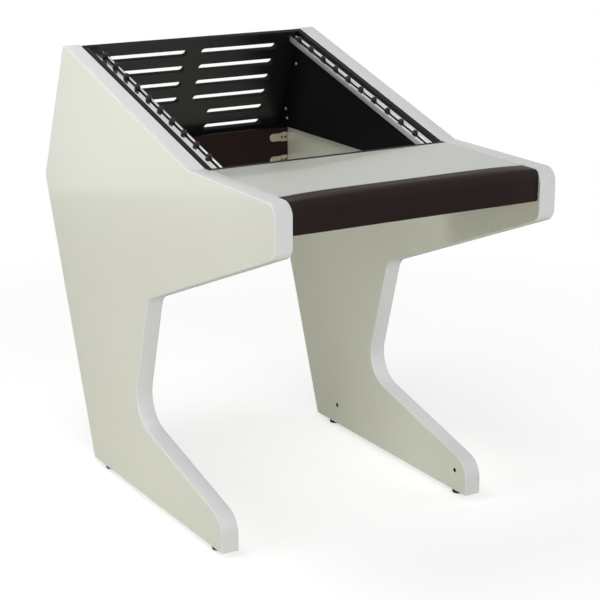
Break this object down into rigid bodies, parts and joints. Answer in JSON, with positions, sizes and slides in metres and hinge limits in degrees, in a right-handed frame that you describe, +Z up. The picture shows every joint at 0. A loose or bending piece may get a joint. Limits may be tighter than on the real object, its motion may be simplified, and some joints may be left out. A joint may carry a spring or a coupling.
{
  "type": "studio desk",
  "caption": "Studio desk with bent lacquered side panels, a padded armrest, a writing shelf and, behind it, a sloping rack bay with slotted rails, sliding screws and a ventilated rear board.",
  "frame": {"origin": "on the floor, under the middle of the desk's outline", "axes": "+Z up, -Y towards the user, +X to the right as seen from the front"},
  "size_m": [0.6, 1.0099, 0.8925],
  "materials": {
    "white_lacquer": "gloss lacquer",
    "black_board": "satin black",
    "brown_board": "satin dark brown",
    "bare_wood": "sawn",
    "leatherette": "fine grain, satin",
    "aluminium": "extruded, satin",
    "black_steel": "blackened",
    "zinc": "zinc, satin",
    "steel": "bright",
    "black_plastic": "matt"
  },
  "bodies": {
    "desk": {"side_panel_left": "white_lacquer", "side_panel_right": "white_lacquer", "front_shelf": "white_lacquer", "armrest_core": "bare_wood", "armrest_pad": "leatherette", "rack_side_board_left": "black_board", "rack_side_board_right": "black_board", "rack_front_board": "black_board", "rack_rear_board": "black_board", "rack_side_screw_left_1": "zinc", "rack_side_screw_left_2": "zinc", "rack_side_screw_left_3": "zinc", "rack_side_screw_right_1": "zinc", "rack_side_screw_right_2": "zinc", "rack_side_screw_right_3": "zinc", "rack_rail_left": "aluminium", "rack_rail_right": "aluminium", "rear_stretcher": "brown_board", "connector_upper_left": "zinc", "connector_bolt_upper_left": "steel", "connector_lower_left": "zinc", "connector_bolt_lower_left": "steel", "connector_upper_right": "zinc", "connector_bolt_upper_right": "steel", "connector_lower_right": "zinc", "connector_bolt_lower_right": "steel", "panel_insert_front_left": "black_steel", "panel_insert_rear_left": "black_steel", "panel_insert_front_right": "black_steel", "panel_insert_rear_right": "black_steel", "foot_sleeve_front_left": "steel", "foot_sleeve_rear_left": "steel", "foot_sleeve_front_right": "steel", "foot_sleeve_rear_right": "steel"},
    "rack_screw_left_1": {"rack_screw_left_1": "black_steel"},
    "rack_screw_left_2": {"rack_screw_left_2": "black_steel"},
    "rack_screw_left_3": {"rack_screw_left_3": "black_steel"},
    "rack_screw_left_4": {"rack_screw_left_4": "black_steel"},
    "rack_screw_left_5": {"rack_screw_left_5": "black_steel"},
    "rack_screw_left_6": {"rack_screw_left_6": "black_steel"},
    "rack_screw_left_7": {"rack_screw_left_7": "black_steel"},
    "rack_screw_left_8": {"rack_screw_left_8": "black_steel"},
    "rack_screw_left_9": {"rack_screw_left_9": "black_steel"},
    "rack_screw_left_10": {"rack_screw_left_10": "black_steel"},
    "rack_screw_right_1": {"rack_screw_right_1": "black_steel"},
    "rack_screw_right_2": {"rack_screw_right_2": "black_steel"},
    "rack_screw_right_3": {"rack_screw_right_3": "black_steel"},
    "rack_screw_right_4": {"rack_screw_right_4": "black_steel"},
    "rack_screw_right_5": {"rack_screw_right_5": "black_steel"},
    "rack_screw_right_6": {"rack_screw_right_6": "black_steel"},
    "rack_screw_right_7": {"rack_screw_right_7": "black_steel"},
    "rack_screw_right_8": {"rack_screw_right_8": "black_steel"},
    "rack_screw_right_9": {"rack_screw_right_9": "black_steel"},
    "rack_screw_right_10": {"rack_screw_right_10": "black_steel"},
    "foot_front_left": {"foot_front_left": "black_plastic"},
    "foot_rear_left": {"foot_rear_left": "black_plastic"},
    "foot_front_right": {"foot_front_right": "black_plastic"},
    "foot_rear_right": {"foot_rear_right": "black_plastic"}
  },
  "joints": [
    {"name": "rack_screw_left_1_slide", "type": "slide", "parent": "desk", "child": "rack_screw_left_1", "axis": [0, 0.9607, 0.2774], "range_m": [-0.02, 0.02]},
    {"name": "rack_screw_left_2_slide", "type": "slide", "parent": "desk", "child": "rack_screw_left_2", "axis": [0, 0.9607, 0.2774], "range_m": [-0.02, 0.02]},
    {"name": "rack_screw_left_3_slide", "type": "slide", "parent": "desk", "child": "rack_screw_left_3", "axis": [0, 0.9607, 0.2774], "range_m": [-0.02, 0.02]},
    {"name": "rack_screw_left_4_slide", "type": "slide", "parent": "desk", "child": "rack_screw_left_4", "axis": [0, 0.9607, 0.2774], "range_m": [-0.02, 0.02]},
    {"name": "rack_screw_left_5_slide", "type": "slide", "parent": "desk", "child": "rack_screw_left_5", "axis": [0, 0.9607, 0.2774], "range_m": [-0.02, 0.02]},
    {"name": "rack_screw_left_6_slide", "type": "slide", "parent": "desk", "child": "rack_screw_left_6", "axis": [0, 0.9607, 0.2774], "range_m": [-0.02, 0.02]},
    {"name": "rack_screw_left_7_slide", "type": "slide", "parent": "desk", "child": "rack_screw_left_7", "axis": [0, 0.9607, 0.2774], "range_m": [-0.02, 0.02]},
    {"name": "rack_screw_left_8_slide", "type": "slide", "parent": "desk", "child": "rack_screw_left_8", "axis": [0, 0.9607, 0.2774], "range_m": [-0.02, 0.02]},
    {"name": "rack_screw_left_9_slide", "type": "slide", "parent": "desk", "child": "rack_screw_left_9", "axis": [0, 0.9607, 0.2774], "range_m": [-0.02, 0.02]},
    {"name": "rack_screw_left_10_slide", "type": "slide", "parent": "desk", "child": "rack_screw_left_10", "axis": [0, 0.9607, 0.2774], "range_m": [-0.02, 0.02]},
    {"name": "rack_screw_right_1_slide", "type": "slide", "parent": "desk", "child": "rack_screw_right_1", "axis": [0, 0.9607, 0.2774], "range_m": [-0.02, 0.02]},
    {"name": "rack_screw_right_2_slide", "type": "slide", "parent": "desk", "child": "rack_screw_right_2", "axis": [0, 0.9607, 0.2774], "range_m": [-0.02, 0.02]},
    {"name": "rack_screw_right_3_slide", "type": "slide", "parent": "desk", "child": "rack_screw_right_3", "axis": [0, 0.9607, 0.2774], "range_m": [-0.02, 0.02]},
    {"name": "rack_screw_right_4_slide", "type": "slide", "parent": "desk", "child": "rack_screw_right_4", "axis": [0, 0.9607, 0.2774], "range_m": [-0.02, 0.02]},
    {"name": "rack_screw_right_5_slide", "type": "slide", "parent": "desk", "child": "rack_screw_right_5", "axis": [0, 0.9607, 0.2774], "range_m": [-0.02, 0.02]},
    {"name": "rack_screw_right_6_slide", "type": "slide", "parent": "desk", "child": "rack_screw_right_6", "axis": [0, 0.9607, 0.2774], "range_m": [-0.02, 0.02]},
    {"name": "rack_screw_right_7_slide", "type": "slide", "parent": "desk", "child": "rack_screw_right_7", "axis": [0, 0.9607, 0.2774], "range_m": [-0.02, 0.02]},
    {"name": "rack_screw_right_8_slide", "type": "slide", "parent": "desk", "child": "rack_screw_right_8", "axis": [0, 0.9607, 0.2774], "range_m": [-0.02, 0.02]},
    {"name": "rack_screw_right_9_slide", "type": "slide", "parent": "desk", "child": "rack_screw_right_9", "axis": [0, 0.9607, 0.2774], "range_m": [-0.02, 0.02]},
    {"name": "rack_screw_right_10_slide", "type": "slide", "parent": "desk", "child": "rack_screw_right_10", "axis": [0, 0.9607, 0.2774], "range_m": [-0.02, 0.02]},
    {"name": "foot_front_left_levelling", "type": "slide", "parent": "desk", "child": "foot_front_left", "axis": [0, 0, -1], "range_m": [-0.002, 0.015]},
    {"name": "foot_rear_left_levelling", "type": "slide", "parent": "desk", "child": "foot_rear_left", "axis": [0, 0, -1], "range_m": [-0.002, 0.015]},
    {"name": "foot_front_right_levelling", "type": "slide", "parent": "desk", "child": "foot_front_right", "axis": [0, 0, -1], "range_m": [-0.002, 0.015]},
    {"name": "foot_rear_right_levelling", "type": "slide", "parent": "desk", "child": "foot_rear_right", "axis": [0, 0, -1], "range_m": [-0.002, 0.015]}
  ]
}
